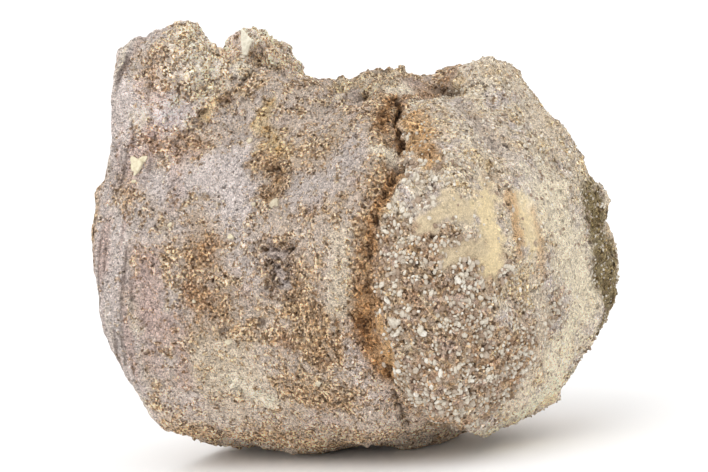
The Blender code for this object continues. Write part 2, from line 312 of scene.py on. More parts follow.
tones = {
    "stone": (198, 181, 166), "lilac": (197, 185, 179), "paleLilac": (206, 194, 189), "mauve": (186, 163, 154),
    "beige": (206, 190, 169), "pale": (222, 209, 188), "tan": (196, 174, 150), "brown": (172, 145, 116),
    "umber": (118, 95, 74), "rust": (166, 130, 94), "rustDark": (124, 88, 54), "ochre": (208, 183, 143),
    "orange": (192, 155, 112), "russet": (170, 139, 115), "ash": (168, 153, 144), "pit": (70, 48, 31),
    "bare": (190, 173, 143), "sun": (208, 189, 151), "crust": (172, 150, 128), "sand": (208, 193, 172),
    "olive": (140, 124, 87), "oliveDark": (104, 88, 58), "slope": (221, 208, 183),
}
brightness = 1.04     # of all tones, in the studio's light


def linear(tone):
    c = np.array(tones[tone]) / 255
    return brightness * np.where(c < 0.04045, c / 12.92, ((c + 0.055) / 1.055) ** 2.4)

stains = [
    # (reach in mm, tone, strength, how thick crumbs lie on it, then the line's places in mm)
    # upper flank and the arch's foot
    (4.6, "paleLilac", 0.9, 0.25, (-24.5, -25.9, 48.6), (-18.7, -24.2, 49.9), (-11.8, -22.8, 51.1),
     (-10.8, -25.9, 45.8)),
    (4.4, "lilac", 0.8, 0.38, (1.4, -25.8, 47.1), (7.1, -25.6, 49.4), (9.8, -22.9, 53.1)),
    (5, "pale", 0.6, 0.66, (-24.6, -21.6, 68.8), (-20.8, -17.7, 70.6), (-18.9, -17.2, 64.6)),
    (2.1, "russet", 0.5, 0.68, (-27.1, -23, 56.2), (-24.2, -21.7, 53.8), (-21.9, -18.7, 54.9), (-19.5, -20.1, 53.4)),
    (2.6, "mauve", 0.6, 0.6, (-25.4, -22.2, 58.1), (-28.3, -23.8, 55.8), (-30.1, -27.9, 49)),
    (3, "paleLilac", 0.75, 0.34, (-27.6, -23.8, 62.6), (-24.8, -22, 60.2), (-22.6, -19.8, 60)),
    (2, "lilac", 0.8, 0.12, (-31.2, -25.8, 59.8), (-30.2, -25.1, 65.6)),
    (1.2, "umber", 0.8, 0.8, (-20.6, -18.2, 57.4), (-18, -17.5, 60.2), (-15.3, -16.5, 61.1)),
    (1.1, "ochre", 0.9, 0.4, (-19.2, -17.8, 58.6), (-17.6, -16.9, 60.4)),
    (1.5, "ochre", 0.85, 0.45, (-8.2, -15.8, 60), (-9.1, -18.5, 57.1), (-6.3, -19.1, 55.3), (-4.3, -20.8, 53.2)),
    (1.8, "ochre", 0.6, 0.75, (-7.4, -20.5, 53.6), (-2.4, -21, 52.6)),
    (2.4, "brown", 0.75, 0.85, (-7.6, -22.6, 50.6), (-4.8, -21.6, 51), (-2.9, -23.5, 48), (-4.3, -25.2, 45.4)),
    (3.4, "tan", 0.6, 0.6, (-0.5, -21.5, 52.2), (3.4, -22.5, 51.5), (6, -20.5, 54)),
    (2.6, "russet", 0.4, 0.7, (-26.9, -22, 69.2), (-26, -23, 63)),
    (3.4, "pale", 0.6, 0.66, (-21.9, -15, 72.7), (-19.7, -14.4, 70.1), (-19.5, -17.8, 63.9)),
    (3.4, "russet", 0.75, 0.75, (14, -28.6, 35), (12.7, -29.8, 29.1), (12.6, -29, 23), (14, -27.6, 18)),
    (1.8, "pale", 0.85, 0.4, (-28.3, -31.9, 30.9), (-27.6, -31.6, 26.2)),
    (1.2, "mauve", 0.9, 0.2, (-26.3, -31.5, 34.5), (-25.8, -31.5, 30.3), (-26.1, -31, 25.2)),
    (2.6, "russet", 0.85, 0.8, (-18.6, -29.9, 31.5), (-17.1, -29.6, 29.8)),
    (2.2, "russet", 0.7, 0.75, (-16.3, -29.7, 36.8), (-13.9, -28.6, 38.7)),
    (1.1, "mauve", 0.9, 0.2, (-20.3, -29.8, 24.9), (-19.8, -29.6, 22.5)),
    (3.4, "sand", 0.75, 0.35, (-18.1, -29.3, 21.4), (-13.4, -28.1, 19.4), (-10.4, -27.2, 16.7), (-17, -27.1, 16)),
    (1.7, "pale", 0.9, 0.3, (-9.7, -25.6, 13.1), (-8.6, -24.6, 11.2)),
    (2.2, "ash", 0.6, 0.6, (1.3, -25.7, 11.2), (5.1, -27.4, 12.2), (7.5, -28.1, 13.9)),
    (2, "russet", 0.6, 0.8, (-3.2, -28.9, 23.5), (3.1, -30.7, 21.9), (5.6, -30.7, 19.4)),
    (2.2, "sand", 0.8, 0.3, (8.9, -31.3, 29.4), (9.9, -31.6, 32.8)),
    (2.2, "mauve", 0.6, 0.35, (-26.6, -30.2, 21.8), (-26.2, -28.7, 18.2)),
    # mid length
    (3, "tan", 0.6, 0.7, (-27.2, -28.7, 44.9), (-30.1, -27.9, 47.4)),
    (3.8, "mauve", 0.85, 0.42, (-25, -31, 36.9), (-26.3, -31.6, 30.3), (-23.5, -30.8, 25.1)),
    (4, "brown", 0.48, 0.64, (-17.3, -29, 39.7), (-15.7, -29.6, 33.9), (-14.7, -29.2, 28), (-17.5, -29.6, 24.5)),
    (3.4, "lilac", 0.6, 0.5, (-9.5, -28.8, 39.8), (-7.5, -29.2, 34)),
    (4.6, "brown", 0.75, 0.75, (-0.7, -29.6, 35.7), (1.5, -29.3, 30.9), (3.6, -30.1, 26), (5.7, -31.4, 22)),
    (2.5, "ash", 0.85, 0.7, (-4.6, -29.1, 37.6), (-2, -29.3, 34.5), (-2.6, -29.1, 31.5), (0.6, -29.4, 36.6)),
    (0.75, "ash", 1, 0, (-3.3, -29.3, 37.3), (-0.6, -29.6, 36.8)),
    (0.75, "ash", 1, 0.1, (-2.2, -29.4, 34.8), (-1.3, -29.4, 33.8)),
    (0.8, "lilac", 0.9, 0.1, (-0.9, -29.2, 31.9)),
    (2.6, "tan", 0.7, 0.8, (0.2, -29.3, 27.5), (2.2, -29.9, 22)),
    # low
    (5.6, "beige", 0.5, 0.4, (-19.1, -28.2, 17.9), (-11.6, -27.9, 19.4), (-7.6, -26, 13.9), (-16.6, -23.7, 10.5)),
    (2.2, "pale", 0.8, 0.3, (-13.5, -26.5, 15.5), (-9, -25.5, 12.5)),
    (1.6, "mauve", 0.7, 0.5, (-21.5, -29, 21), (-22.5, -27.5, 15.5)),
    (2.6, "brown", 0.6, 0.8, (-4.5, -27.5, 15), (0.5, -26.5, 12.5), (6, -26.5, 13)),
    (3.2, "lilac", 0.6, 0.4, (-26.5, -26, 13), (-23.5, -25, 11)),
    (3.2, "tan", 0.8, 0.75, (-27.2, -21.7, 7.9), (-20.5, -17.2, 5.4), (-8.8, -18.3, 4.4), (-2.4, -13, 2.6)),
    (3.2, "tan", 0.6, 0.75, (2, -28.5, 13.5), (7, -27, 13.5)),
    (3, "tan", 0.6, 0.7, (5.5, -20.5, 6), (9.5, -17.5, 5)),
    # rear rim and the groove
    (2.4, "beige", 0.85, 0.36, (11.1, -30.6, 40.1), (10.9, -31.8, 34.4), (10.3, -31.1, 28.5)),
    (2.2, "paleLilac", 0.5, 0.5, (10.3, -30.5, 20.9), (11.5, -28.3, 16.3), (12.6, -25.8, 12.6)),
    (0.6, "brown", 0.8, 0.8, (8.9, -31.3, 26.1), (8.7, -31.3, 22.4), (8.2, -30.4, 18.9)),
    (2.2, "brown", 0.8, 0.75, (14, -27.4, 41), (14, -28.6, 35), (13.8, -28.9, 29)),
    (2.3, "rust", 0.95, 0.55, (13.2, -29.3, 30.5), (13.3, -28.8, 26), (13.9, -28.6, 21.5), (15.2, -27.6, 17)),
    (1.3, "rustDark", 0.7, 0.8, (12.4, -29.2, 25.5), (13, -28.8, 22.5)),
    (0.9, "orange", 0.85, 0.3, (16.2, -29.2, 27), (16.6, -29.2, 22), (16.4, -27.2, 17)),
    (2.6, "tan", 0.8, 0.7, (10.5, -9, 59.2), (11.6, -13.5, 57.2), (13.4, -18.4, 55), (14.3, -20.9, 51.8),
     (14.7, -25, 46.3)),
    (1.4, "rust", 0.85, 0.8, (10.9, -10.7, 58.4), (12, -15.1, 56.5), (12.9, -17.5, 55.5)),
    (1.5, "rust", 0.85, 0.7, (11.4, -7.6, 58.6), (13.2, -12.1, 55.7), (15.4, -15.8, 53.6), (17, -18.4, 51.2)),
    (1.9, "pale", 0.9, 0.35, (14.2, -21.5, 51.6), (14.6, -20.7, 51.3), (15.6, -19.7, 50.3)),
    (2, "pale", 0.8, 0.5, (-14.1, -14, 67), (-12.9, -14.7, 65.8)),
    (1.7, "rust", 0.9, 0.6, (18.4, -21.6, 49.4), (16.9, -23.4, 47), (16.6, -26, 43.6)),
    (1.5, "rust", 0.8, 0.7, (16.2, -24.6, 45.4), (16, -27, 42.4), (15.2, -28.4, 38)),
    # condyle
    (3.4, "tan", 0.85, 0.4, (17.2, -12.5, 57), (20.9, -17, 54.4), (21.6, -20.5, 51.4)),
    (2.7, "orange", 0.8, 0.6, (16.6, -13.4, 56.6), (19.2, -16.4, 55.2), (19.9, -18.4, 53.2), (22.5, -20, 51.2)),
    (1.4, "rust", 0.6, 0.5, (20.6, -19, 52.4), (23, -19.8, 51.3)),
    (1.6, "pale", 0.9, 0.3, (9.8, -6.1, 60.2), (10.3, -2.7, 60)),
    (1.3, "beige", 0.9, 0.3, (2.3, -10.8, 59.8)),
    (1.7, "ash", 0.85, 0.4, (0.3, -2.1, 60.1), (1.8, -3.1, 58.9), (2.4, -6, 59.4)),
    (2.6, "lilac", 0.7, 0.5, (-27, -29.1, 44.1), (-24.8, -29.7, 40.9)),
    (1.8, "mauve", 0.5, 0.6, (-22.4, -22.6, 52.2), (-21.3, -27, 45.3)),
    (3.6, "lilac", 0.45, 0.35, (21.2, -8, 57.2), (25.9, -6.9, 54.4), (30, -6.6, 50.1), (34, -6.7, 43.3)),
    (5, "pale", 0.35, 0.3, (21.5, 6.5, 62.9), (20.7, 14.1, 62.1), (22.8, 13.1, 59.7)),
    (2.6, "beige", 0.7, 0.3, (24.3, 11.6, 58.2), (28.8, 9.3, 53.5), (32.8, 6.3, 48.8)),
    (2.2, "bare", 0.95, 0, (24.4, -26.8, 41.4), (26.2, -25.7, 42.5), (28, -24.1, 42.8)),
    (2.2, "bare", 0.95, 0, (27.2, -23.9, 44.8), (28.2, -23.6, 43.3), (29.8, -22, 42)),
    (2.7, "sun", 0.97, 0, (31.1, -18.6, 43.9), (31.7, -18.7, 40.6), (32.1, -18.5, 36.8), (31.7, -19.5, 32.7)),
    (2, "bare", 0.9, 0, (28.1, -25.9, 35.4), (29.4, -23.8, 36.2), (31, -21, 36.3)),
    (2.4, "sun", 0.92, 0.08, (34.1, -10.8, 41.4), (35.2, -11.2, 38.1), (35.2, -10.9, 34.8)),
    (1.3, "orange", 0.75, 0.4, (33.2, -13.2, 43.4), (33.6, -13.4, 40.2), (33.9, -13.7, 37.7), (33.9, -14.4, 34.2)),
    (1.5, "orange", 0.5, 0.3, (35.3, -9.2, 40), (35.9, -8.6, 35), (35.4, -9.4, 30.5)),
    (2.4, "brown", 0.5, 0.6, (33.1, -14.6, 26.2), (33.6, -13.7, 22.7), (34.2, -9.9, 20.4)),
    (6.5, "slope", 0.9, 0.22, (34.9, -3.4, 41.1), (35.9, -1.1, 35.7), (35.2, 4.6, 29.8), (34.1, 4.7, 19.8)),
    (2.8, "beige", 0.8, 0.25, (33.6, -8.4, 26), (33.6, -7.4, 18.4), (31.9, -8.8, 12.8), (28.6, -8.8, 7.9)),
    (5, "slope", 0.8, 0.3, (31.6, 0.5, 15), (30, 1.5, 9.5), (26, -4, 6)),
    (1.6, "rust", 0.5, 0.4, (32.8, -12.2, 13.8), (31.5, -13, 11.5)),
    (2.4, "ochre", 0.6, 0.3, (23.5, 2.1, 3.8), (19, -3, 3.4), (28, 4, 6.4)),
    (1.8, "ash", 0.35, 0.3, (19.3, -0.4, 58.1), (23.6, -5.5, 55.9), (26.9, -7.4, 53.3), (29, -8.4, 50)),
    # far flank
    (4.6, "paleLilac", 0.8, 0.3, (-24, 26, 50), (-16, 25, 51.5), (-8, 24, 51)),
    (3.4, "mauve", 0.7, 0.4, (-28, 30, 40), (-26, 30, 30), (-27, 28, 20)),
    (4.6, "russet", 0.6, 0.72, (-19, 30, 41), (-14, 30, 31), (-17, 29, 22)),
    (4.4, "brown", 0.6, 0.72, (-4, 30, 36), (0, 30, 28), (5, 30, 19)),
    (4, "lilac", 0.7, 0.36, (-9, 29, 43), (1, 27, 46)),
    (2.8, "tan", 0.7, 0.7, (6, 28, 42), (8, 30, 33)),
    (4.8, "sand", 0.7, 0.34, (-21, 26, 12), (-9, 24, 10)),
    (2.2, "beige", 0.8, 0.35, (10, 29, 30), (11, 28, 20)),
    (2.2, "rust", 0.8, 0.6, (13, 26, 40), (13.5, 28, 30), (13.5, 26, 18)),
    (2.2, "ochre", 0.6, 0.5, (-23, 20, 58), (-18, 18, 59)),
    (3.6, "lilac", 0.6, 0.3, (22, 22, 50), (28, 18, 44)),
    (4.6, "crust", 0.7, 0.6, (25, 24, 22), (20, 22, 12)),
    # inside the hollow end
    (5.6, "lilac", 0.7, 0.3, (-33, 6, 46), (-31, 12, 31)),
    (4.6, "tan", 0.7, 0.6, (-31, -8, 25), (-32, 3, 15)),
    (4, "brown", 0.6, 0.7, (-31, 14, 20)),
]


def lay(colour, tone, mask):
    m = np.clip(mask, 0, 1)[:, None]
    return colour * (1 - m) + linear(tone) * m


def layAll(colour, *layers):
    for tone, mask in layers:
        colour = lay(colour, tone, mask)
    return colour


def layCover(cover, value, mask):
    m = np.clip(mask, 0, 1)
    return cover * (1 - m) + value * m


def turnFar(p):
    # the far flank's pattern is turned, so that its patches don't stand in rows
    far = 0.6 * beyond(p[:, 1] / mm, "farSide")
    return p + np.column_stack([far * p[:, 2], 0 * far, -far * p[:, 0]])


def bodyTones(p, z, blotch, patch, fleck):
    # the light tone of the stone, and how thickly crumbs cover it
    lilac = ramp(blotch + 0.5 * patch, -0.2, 0.6) * (1 - 0.7 * ramp(z.along, 24, 38))
    warm = ramp(-blotch + 0.5 * patch, 0.1, 0.7)
    broken = np.clip(z.scar + z.farScar + z.matrix, 0, 1)
    colour = layAll(
        np.tile(linear("stone"), (len(p), 1)),
        ("lilac", lilac * 0.8), ("tan", warm * 0.7), ("beige", ramp(patch + 0.3 * fleck, 0.3, 0.8) * 0.6),
        ("mauve", ramp(field(p, "mauve") - 0.3 * patch, 0.35, 0.8) * 0.45), ("lilac", z.rim * 0.9),
        ("mauve", z.rim * ramp(z.streaks, 0.05, 0.45) * 0.8),
        ("pale", z.rim * ramp(-z.streaks, 0.2, 0.6) * 0.6), ("tan", z.lip * 0.9),
        ("pale", broken * ramp(patch, -0.3, 0.5) * 0.6), ("olive", z.matrix * 0.3),
        ("rust", z.groove * 0.6 * ramp(blotch, -0.6, 0.3)), ("beige", z.under * 0.4))
    cover = np.full(len(p), 0.5)
    for value, mask in ((0.42, lilac), (0.64, warm), (0.34, z.rim), (0.55, z.lip)):
        cover = layCover(cover, value, mask)
    cover = np.clip(cover + 0.3 * patch * (1 - 0.5 * z.rim), 0.05, 0.95)
    return colour, layCover(cover, 0.6, broken * 0.8)


def domeTones(p, colour, brownPatch, blotch, patch, fleck):
    # the condyle: sand with lilac and ochre veils, mottled, and brown where the grains lie thick
    veil, mottle, russet = field(p, "veil"), field(p, "mottle"), field(p, "russet")
    return layAll(
        colour, ("sand", np.full(len(p), 0.95)), ("lilac", ramp(veil + 0.5 * patch, 0.05, 0.5) * 0.85),
        ("ochre", ramp(-veil + 0.4 * patch, 0.15, 0.7) * 0.7), ("pale", ramp(mottle, 0.12, 0.5) * 0.6),
        ("ash", ramp(-mottle, 0.22, 0.6) * 0.45), ("brown", ramp(-blotch + 0.5 * fleck, 0.3, 0.8) * 0.5),
        ("crust", brownPatch * 0.95), ("brown", brownPatch * ramp(field(p, "brown"), 0.1, 0.7) * 0.7),
        ("russet", brownPatch * ramp(russet, 0.05, 0.45) * 0.7),
        ("mauve", brownPatch * ramp(-russet, 0.1, 0.5) * 0.5))


rubs = {"bare": 1, "sun": 1, "slope": 0.3}      # how far crumbs are rubbed off each tone


def layStains(p, colour, cover, ragged):
    # also says where crumbs are rubbed off, and where no sand grains lie
    bareness = np.zeros(len(p))
    grainless = np.zeros(len(p))
    for reach, tone, strength, crumbs, *line in stains:
        d = nearLine(p, line, reach * 2.4) / reach
        m = strength * (1 - ramp(d + ragged * (1.1 if tone == "sun" else 1), 0.3, 1.3))
        colour = lay(colour, tone, m)
        cover = layCover(cover, crumbs, m)
        bareness = np.maximum(bareness, rubs.get(tone, 0) * m)
        grainless = np.maximum(grainless, m if tone in ("orange", "rust") else 0)
    return colour, cover, bareness, grainless


# how much some places are brightened; low down, at middle heights, in the groove, on the scar and at its foot this is
# painted light that offsets the shade they get
paintedLightAndTone = {"below": 0.22, "scar": np.array([0.2, 0.2, 0.26]), "farScar": 0.4, "dome": 0.1, "middle": 0.08,
           "matrix": 0.2, "groove": 0.1, "foot": 0.2}


def paintLightAndTone(colour, p, z):
    height = p[:, 2] / mm
    colour = colour * (1 + paintedLightAndTone["below"] * (1 - ramp(height, 3, 26)))[:, None]    # painted light: the lower part gets less light, so it is brightened
    colour = colour * (1 + z.scar[:, None] * paintedLightAndTone["scar"])
    for zone in ("farScar", "dome"):
        colour = colour * (1 + paintedLightAndTone[zone] * getattr(z, zone))[:, None]
    # painted light: the middle heights, away from the rim and the condyle, are brightened to even them with the
    # better lit top
    middle = (1 - ramp(height, 38, 47)) * (1 - z.dome) * (1 - 0.6 * z.rim)
    foot = within(z.along, "footAlong") * within(z.around, "footAround")
    gain = 1 + paintedLightAndTone["middle"] * middle + paintedLightAndTone["matrix"] * z.matrix + paintedLightAndTone["groove"] * z.groove
    return colour * (gain + paintedLightAndTone["foot"] * foot)[:, None]


def paint(p, z):
    turned = turnFar(p)
    blotch, patch, fleck = field(turned, "blotch"), field(turned, "patch"), field(turned, "fleck")
    colour, cover = bodyTones(p, z, blotch, patch, fleck)
    inside = within(z.around, "brownAround") * within(z.past, "brownPast")
    brownPatch = ramp(inside + 0.6 * patch + 0.35 * fleck, 0.3, 0.9)
    dome = domeTones(p, colour, brownPatch, blotch, patch, fleck)
    colour = colour * (1 - z.dome[:, None]) + dome * z.dome[:, None]
    cover = layCover(cover, 0.5 + 0.14 * brownPatch, z.dome)
    colour, cover, bareness, grainless = layStains(p, colour, cover, 0.5 * patch + 0.4 * fleck)
    # painted light: some places brightened to offset their shade
    colour = paintLightAndTone(colour, p, z)
    colour = lay(colour, "olive", z.edge * 0.9)
    colour = lay(colour, "oliveDark", z.edge * ramp(patch, 0, 0.5) * 0.7)
    cover = layCover(cover, 0.5, z.edge)
    return colour, cover, brownPatch, bareness, grainless


zones = makeZones(points)
tone, cover, brownPatch, bareness, grainless = paint(points, zones)
print("tones laid")


# ---- marks cut into the bone, at places in mm ----

cracks = [
    # (width in mm, depth, dark, then the line's places); dark darkens the crack as painted shade and dust
    # deep jagged split over the condyle's foot, broken by lumps
    (0.48, 1.9, 1, (11.4, -7.3, 58.8), (12.1, -8.6, 57.2), (13.2, -12.1, 55.7), (13.6, -14.3, 54.9)),
    (0.5, 2.2, 1, (14.6, -14.6, 54.4), (16.4, -17.2, 52.7), (16.5, -18.1, 50.9)),
    (0.5, 2.2, 1, (18.4, -20.7, 49.7), (17.8, -21.1, 48.6), (17.1, -22.1, 47.8), (16.8, -23.2, 47.1)),
    (0.42, 1.5, 1, (16.4, -24, 45.9), (16.4, -24.9, 44.9)),
    (0.4, 1.2, 1, (15.8, -27.1, 42.9), (16.5, -28.5, 41.5)),
    (0.35, 1, 0.9, (11.1, -8.8, 59.2), (11.7, -7.4, 58.7), (12.1, -6.3, 58.2)),
    (0.45, 0.6, 0.6, (10.9, -10.7, 58.4), (11.4, -12.6, 57.6), (12, -15.1, 56.5), (12.9, -17.5, 55.5)),
    (0.4, 0.7, 0.8, (15.2, -27.9, 39), (14.8, -28.3, 36)),
    (0.55, 0.6, 0.7, (14.6, -29.2, 32.4), (14.3, -29.2, 30.6)),
    (0.42, 1.3, 1, (14.9, -27.2, 18.2), (15.6, -26, 15), (16.6, -22.9, 11.5), (18.1, -20.9, 9.5), (21.9, -21.2, 7.2)),
    (0.45, 0.8, 0.7, (14.9, -26.6, 16.5), (14.3, -24.2, 12.8), (13.9, -21.2, 9.3), (13.6, -18.4, 6.2)),
    # wrinkled bark-like patch at mid length
    (0.26, 0.9, 1, (-5.2, -28.7, 37.9), (-3.4, -28.9, 38.3), (-1, -29.3, 37.6), (1.9, -29.9, 38)),
    (0.18, 0.6, 0.9, (-5.6, -29.1, 36.4), (-3.6, -29.2, 36.9), (-1.5, -29.5, 36.2)),
    (0.26, 0.9, 1, (-5, -29.2, 35.2), (-3.2, -29.3, 35.6), (-1.7, -29.4, 34.7), (0.3, -29.5, 35)),
    (0.28, 0.9, 1, (-3.3, -29.3, 35.7), (-2.5, -29.4, 33.9), (-3.7, -29.2, 32.7), (-4.7, -29.1, 31.4)),
    (0.2, 0.7, 0.9, (-0.6, -29.5, 35), (-0.3, -29.3, 33.3), (-1.6, -29.1, 32.2)),
    (0.24, 0.6, 0.8, (-1.2, -28.9, 30.3), (0.5, -29.2, 28.9), (0.2, -29.3, 26.8)),
    # crack under the loose block, low cracks, cracks in the crumbly zones
    (0.3, 1.1, 1, (-14.9, -15.9, 64.5), (-13.3, -15.5, 63.9), (-11.9, -14.5, 64.4), (-11.3, -12, 65.6)),
    (0.22, 0.5, 0.9, (0.2, -29.3, 18.5), (3.2, -30.6, 20.2), (5.4, -30.6, 20)),
    (0.22, 0.5, 0.9, (3.6, -29.7, 16.8), (8.7, -28, 14.2)),
    (0.22, 0.5, 0.8, (0.5, -27.8, 13.5), (3.9, -27.1, 12.2), (7, -26.5, 13)),
    (0.3, 0.35, 0.4, (8.9, -31.3, 26.1), (8.7, -31.3, 22.4), (8.2, -30.4, 18.9)),
    (0.5, 0.5, 0.5, (-4.8, -21.6, 51.3), (-3.2, -23, 48.9)),
    # furrow over the top of the condyle
    (1.4, 0.8, 0.12, (19.3, -0.4, 58.1), (23.6, -5.5, 55.9), (26.9, -7.4, 53.3), (28.4, -8, 50.8)),
    # gap between the arch stubs, and before the sediment in the canal, darkened as painted shade
    (0.8, 0.9, 0.8, (-23.2, 8.3, 64.4), (-20.6, 8.7, 63), (-17.1, 7.8, 61.5)),
    (0.9, 1.4, 1, (0.9, -9.3, 60.9), (2.2, -7.4, 59.9), (2.2, -3.1, 58.9)),
]

hollows = [
    # (reach in mm, depth, dark, place); a negative depth is a bump; dark is painted shade laid in the hollow
    (1.3, 1, 0.9, (13.9, 3.4, 59.3)), (1, 0.8, 0.8, (16.3, 3.7, 58.5)), (1.1, 1, 0.9, (12.9, -11.5, 56.9)),
    (0.8, 1, 0.9, (13.2, -14.6, 55.4)), (0.6, 0.6, 0.7, (11.8, -15.9, 55.6)), (0.7, 0.8, 0.8, (16.6, -20.6, 48.8)),
    (0.5, 0.5, 0.8, (-19.3, -17.7, 59)), (0.5, 0.5, 0.7, (-21.9, -18.9, 56.2)), (0.5, 0.5, 0.8, (-23.4, -20.7, 54.6)),
    (0.55, 0.6, 0.8, (-26.7, -23.3, 55.3)), (0.45, 0.4, 0.7, (-24.9, -22.9, 52.8)),
    (0.5, 0.4, 0.6, (-18.2, -19.6, 54.6)), (0.7, 0.6, 0.8, (-6.8, -28.6, 25.7)), (0.7, 0.6, 0.9, (-13.9, -29, 24.3)),
    (0.8, 0.5, 0.7, (1, -29.8, 24.3)), (0.6, 0.3, 0.5, (-15, -29, 27)), (0.7, 0.4, 0.5, (-22.6, -19.1, 55.8)),
    (0.7, 0.4, 0.5, (12.7, -29, 25.5)), (0.5, 0.4, 0.6, (12.2, -28.9, 22.3)), (0.9, -0.8, 0, (15.6, -19.7, 50.3)),
    (1.5, -0.8, 0, (14.6, -20.7, 51.3)), (1, -1.3, 0, (2.3, -10.8, 59.8)), (0.9, 1.3, 1, (3.4, -8.2, 59.2)),
    (1, 1.2, 0.9, (2.6, -6.6, 59.2)), (1, 0.8, 0.6, (2.4, -4.4, 59)), (0.9, -0.7, 0, (9.8, -6.1, 60.2)),
    (0.9, -0.6, 0, (10.3, -2.7, 60)), (0.6, 0.9, 1, (14.4, 3.3, 58.9)), (0.6, 0.9, 1, (15.4, 3.7, 58.7)),
    (1.7, -0.8, 0, (-31.3, -21.6, 69.6)), (1.9, -1.2, 0, (-28.6, -14.5, 72)), (2.2, -0.8, 0, (-22.6, -14.5, 73)),
    (1.9, -0.9, 0, (-35.6, -27.2, 47.8)), (0.8, -0.5, 0, (-3.2, -29.2, 37.4)), (0.8, -0.6, 0, (-2.2, -29.4, 34.6)),
    (0.8, -0.5, 0, (-1, -29.2, 33.4)), (0.7, -0.5, 0, (-3.4, -29.2, 33.6)), (0.7, -0.4, 0, (0.6, -29.6, 36.4)),
    # the hollow at (-22.6, 8.8, 65) is the painted shadow beside the standing flake
    (2.4, -0.5, 0, (-34.4, -25.6, 52.4)), (1.3, 1.3, 0.55, (-22.6, 8.8, 65)), (1.4, -0.5, 0, (-14.1, -14, 67)),
    (1.2, 0.8, 0.7, (33.8, 9.6, 31.6)), (1, 0.7, 0.6, (34.2, 14, 24.4)),
]

# heights in mm; the fields above give the sizes
relief = {"lumps": 0.36, "crags": 0.75, "crumbs": 0.27, "pits": 0.6, "fine": 0.07, "strands": 0.2, "crust": 0.3,
          "ledges": 0.6, "splinters": 0.3, "choke": 1.1}


def stoneRelief(p, z, cover):
    # how far each point of the skin moves out, how dark its pits and strand lines are painted (dust and painted
    # shade), and where crumbs lie
    smooth = np.clip(z.rim + 0.3 * z.ridge + 0.8 * bareness, 0, 1)
    broken = np.clip(z.scar + z.farScar + z.matrix + 0.8 * z.edge + 0.3 * z.under
                     + 0.7 * z.groove * within(z.around, "brokenAround"), 0, 1)
    halfDome = 1 - 0.5 * z.dome
    push = relief["lumps"] * field(p, "lumps") * (1 - 0.5 * smooth)
    push += relief["crags"] * crags(p, 3.2, 4) * (0.42 + 0.66 * broken) * (1 - 0.8 * smooth) * halfDome
    push += relief["splinters"] * crags(p, 1.5, 5, 2) * (0.3 + 0.7 * broken) * (1 - smooth)
    terrace = field(p, "terrace") * 2.6
    step = np.floor(terrace) + ramp(terrace - np.floor(terrace), 0.75, 1)
    push += relief["ledges"] * (step * 0.4) * np.clip(broken + 0.3 * (1 - z.dome), 0, 1) * (1 - smooth)
    crumbs = ramp(field(p, "crumbs") * 0.75 + (cover - 0.5) * 1.5, -0.12, 0.22)
    f1, chance = cobbles(p + 0.4 * mm * drift(p, 1.3, (15, 16, 17)), 0.95, 1)
    knob = np.clip(1 - (f1 / 0.6) ** 2, -0.5, 1)
    proud = relief["crumbs"] * (crumbs - 0.4 + 0.9 * crumbs * knob * (0.7 + 0.5 * chance))
    push += proud * (1 - 0.85 * smooth) * (1 - 0.4 * z.dome)
    hole = ramp(-field(p, "pits") + 0.35 * (cover - 0.5), 0.52, 0.95) * (1 - 0.7 * smooth)
    push -= relief["pits"] * hole
    push += relief["fine"] * field(p, "fine")
    push += relief["strands"] * z.strands * np.maximum(z.rim, z.ridge)
    lines = ramp(-z.strands, 0.22, 0.6) * (0.75 * z.rim + 0.25 * z.ridge)
    push += relief["crust"] * z.dome * field(p, "crust") * (1 - 0.8 * bareness)
    # the groove over the condyle's foot is choked with crumbly stone
    push += relief["choke"] * z.groove * within(z.around, "chokedAround")
    return push, np.maximum(hole * 0.75, lines), crumbs


def cutMarks(p, push, dirtAndShade):
    wobble = np.clip(1 + 0.7 * field(p, "wobble"), 0.3, 2)
    shifted = p + 0.6 * mm * drift(p, 1.5, (25, 26, 27), 2)
    # each crack's and hollow's dark is painted shade, laid into the colour below
    for width, depth, dark, *line in cracks:
        d = nearLine(shifted, line, 4 * width + 2)
        cut = np.exp(-(d / (width * wobble)) ** 2)
        push -= depth * cut
        dirtAndShade = np.maximum(dirtAndShade, dark * cut)
    for reach, depth, dark, place in hollows:
        d = np.linalg.norm(shifted - snap(place), axis=1) / mm
        cut = np.exp(-(d / reach) ** 2)
        push -= depth * cut
        dirtAndShade = np.maximum(dirtAndShade, dark * cut)
    return push, np.clip(dirtAndShade, 0, 1)


normals = normalsOf(base)
push, dirtAndShade, crumbs = stoneRelief(points, zones, cover)
push, dirtAndShade = cutMarks(points, push, dirtAndShade)
push *= 0.1 + 0.9 * ramp(points[:, 2] / mm, 0.2, 1.6)      # the underside stays flat
outer = points + normals * (push * mm)[:, None]
clearance = 0.05 * mm                                      # inside the CAD box
outer = np.clip(outer, np.array(cadBox[0]) + clearance, np.array(cadBox[1]) - clearance)
print("weathered:", round(float(push.min()), 2), "to", round(float(push.max()), 2), "mm")

# painted shade and dust darken the hollows, and the cracks, pits and hollows marked dark; what stands proud is
# brightened
hollow = np.clip((relax(push, edges, 10) - push) / 0.2, -1, 3)
tone = lay(tone, "umber", ramp(hollow, 0.4, 1.6) * 0.45)
tone = lay(tone, "pit", np.maximum(ramp(hollow, 1.2, 2.6) * 0.6, dirtAndShade * 0.85))
tone = tone * (1 + 0.35 * np.clip(-hollow, 0, 0.5))[:, None]
tone = np.clip(tone, 0, 0.95)
crumbCover = np.clip(0.5 * cover + 0.5 * crumbs, 0, 1) * (1 - 0.8 * bareness)


